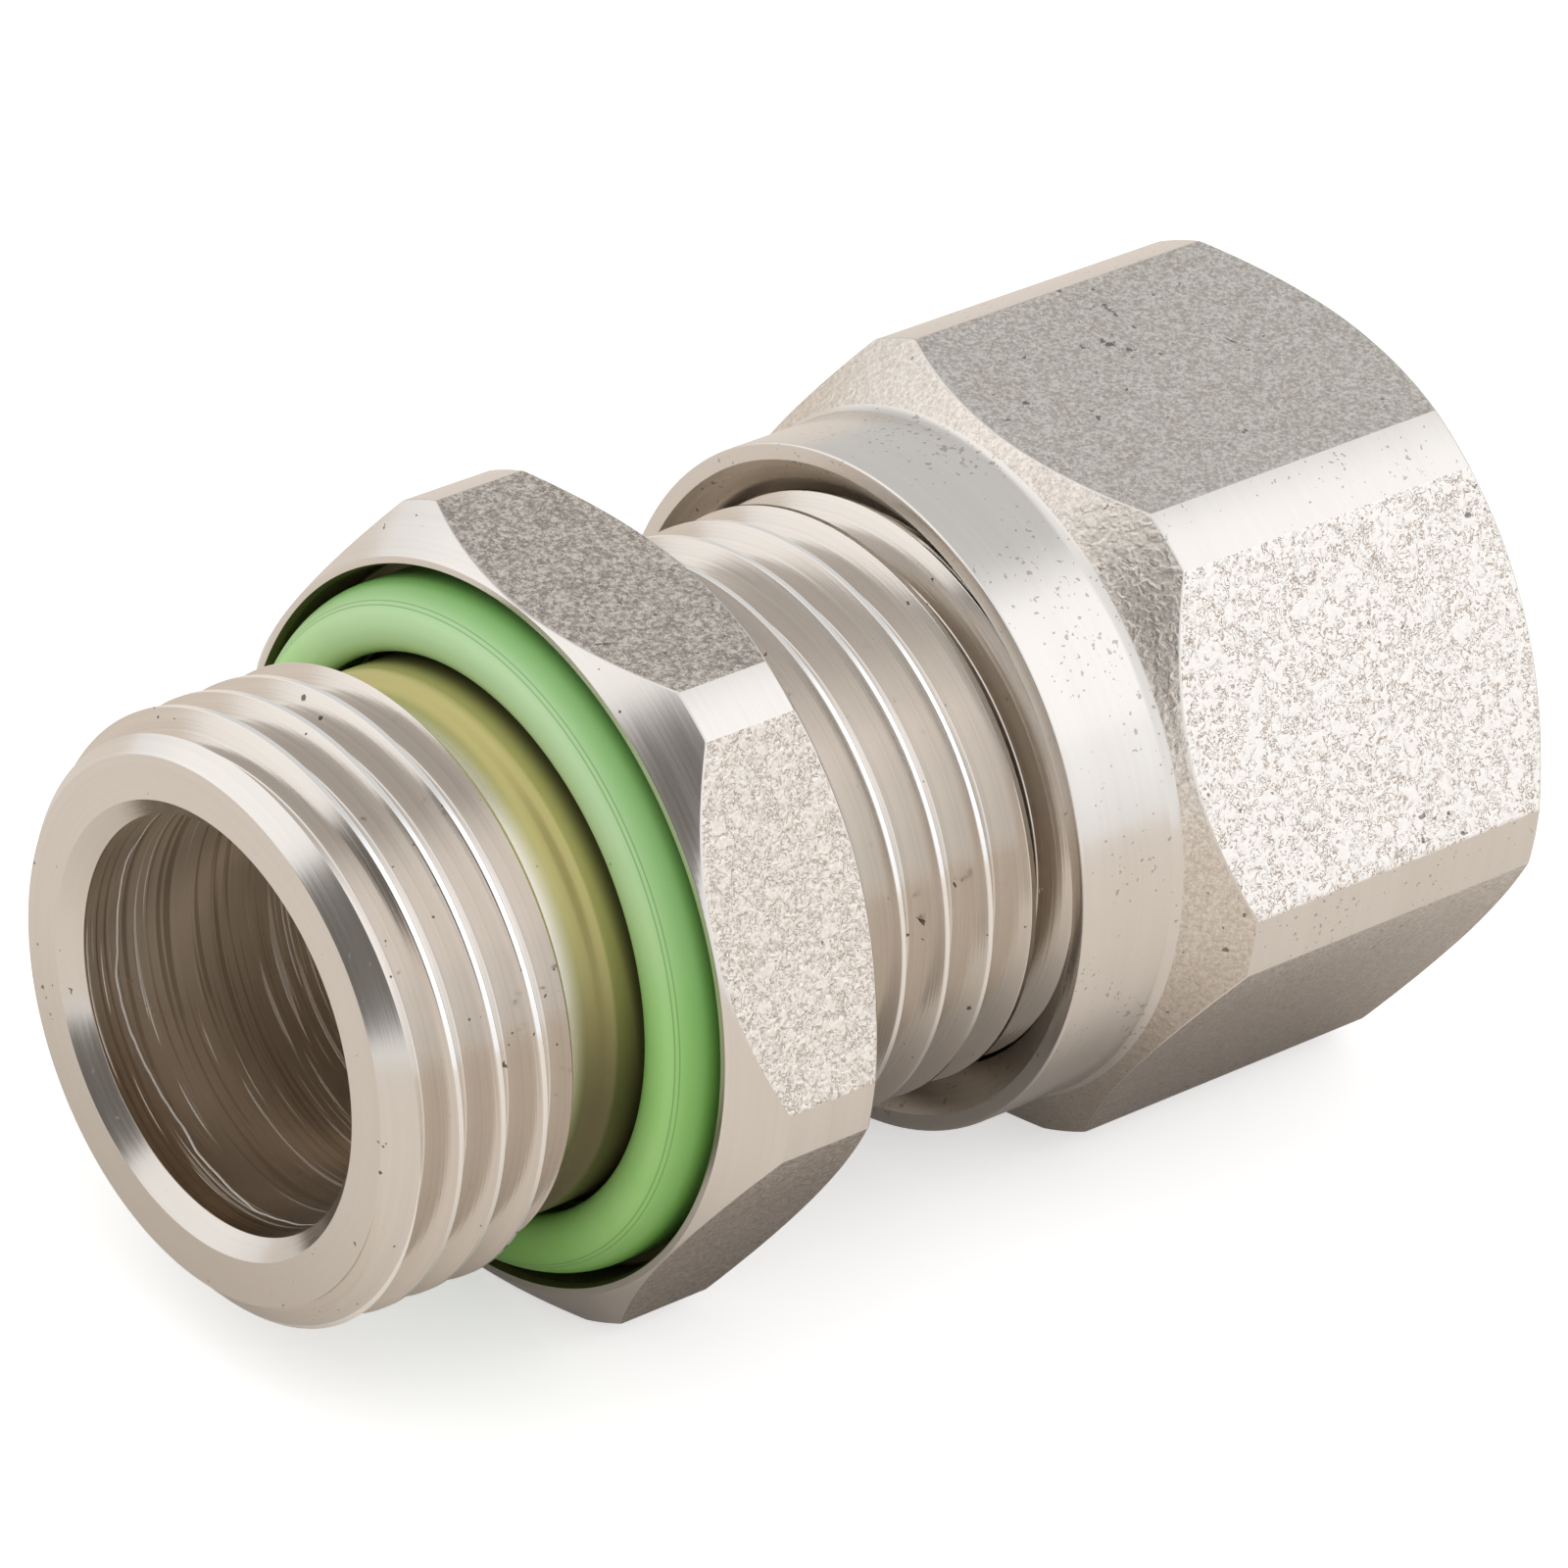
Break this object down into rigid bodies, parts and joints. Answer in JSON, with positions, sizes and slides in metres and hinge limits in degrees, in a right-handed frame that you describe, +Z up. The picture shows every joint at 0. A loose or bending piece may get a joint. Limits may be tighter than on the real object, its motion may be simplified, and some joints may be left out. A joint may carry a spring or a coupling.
{
  "type": "male stud coupling",
  "caption": "Straight tube coupling: chamfered stud thread with a captive seal ring at one end, 24 degree compression end with cutting ring and union nut at the other.",
  "frame": {"origin": "under the middle of the coupling's length, on the surface that its hexagons' lower flats rest on", "axes": "+X along the common axis from the stud's nose to the tube entry, +Z up, normal to the upper flats"},
  "size_m": [0.0502, 0.03, 0.027],
  "materials": {
    "turned_steel": "turned stainless steel, matt hexagon flats",
    "ring_steel": "ground stainless steel",
    "green_elastomer": "satin moulded elastomer"
  },
  "bodies": {
    "stud": {"stud_body": "turned_steel", "seal_ring": "green_elastomer"},
    "ring": {"cutting_ring": "ring_steel"},
    "nut": {"union_nut": "turned_steel"}
  },
  "joints": [
    {"name": "nut_advance", "type": "slide", "parent": "stud", "child": "ring", "axis": [1, 0, 0], "range_m": [-0.0048, 0.0025]},
    {"name": "nut_turn", "type": "hinge", "parent": "ring", "child": "nut", "pos_m": [0.00375, 0, 0.0135], "axis": [1, 0, 0], "range_deg": [-864, 450]}
  ],
  "couplings": [
    {"joint": "nut_advance", "follows": "nut_turn", "m_per_rad": 0.0003183}
  ]
}
